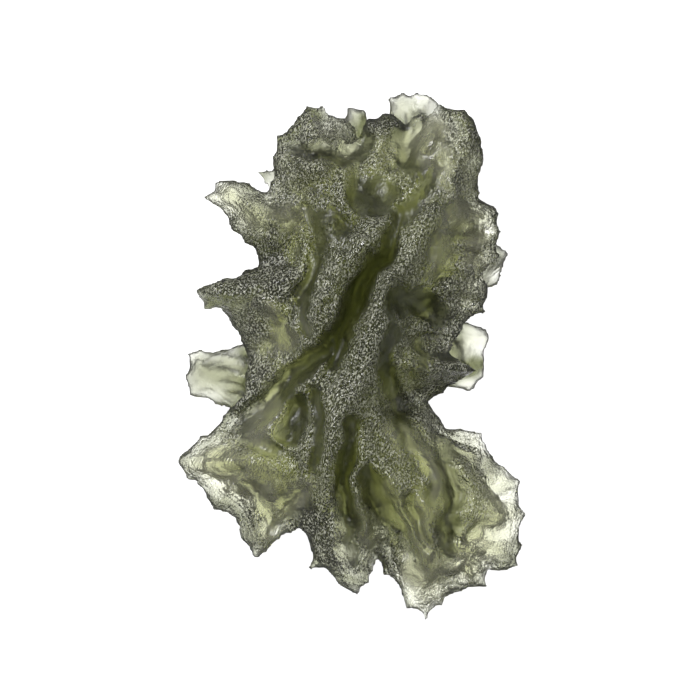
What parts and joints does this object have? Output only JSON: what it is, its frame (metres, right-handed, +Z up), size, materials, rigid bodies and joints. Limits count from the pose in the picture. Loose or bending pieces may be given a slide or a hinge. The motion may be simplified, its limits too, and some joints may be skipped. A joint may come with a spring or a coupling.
{
  "type": "moldavite",
  "caption": "Rough etched piece of green natural glass with leaf-like lobes, pointed spines and deep flutes, lying flat.",
  "frame": {"origin": "centre of the bounding box in X and Y, on the plane that the stone lies on", "axes": "+Y along the stone's length, +X across it, +Z up out of its front face"},
  "size_m": [0.0228, 0.0344, 0.0111],
  "materials": {
    "moldavite_glass": "frosted ribs, smoother flutes"
  },
  "bodies": {
    "root": {"moldavite": "moldavite_glass"}
  },
  "joints": []
}
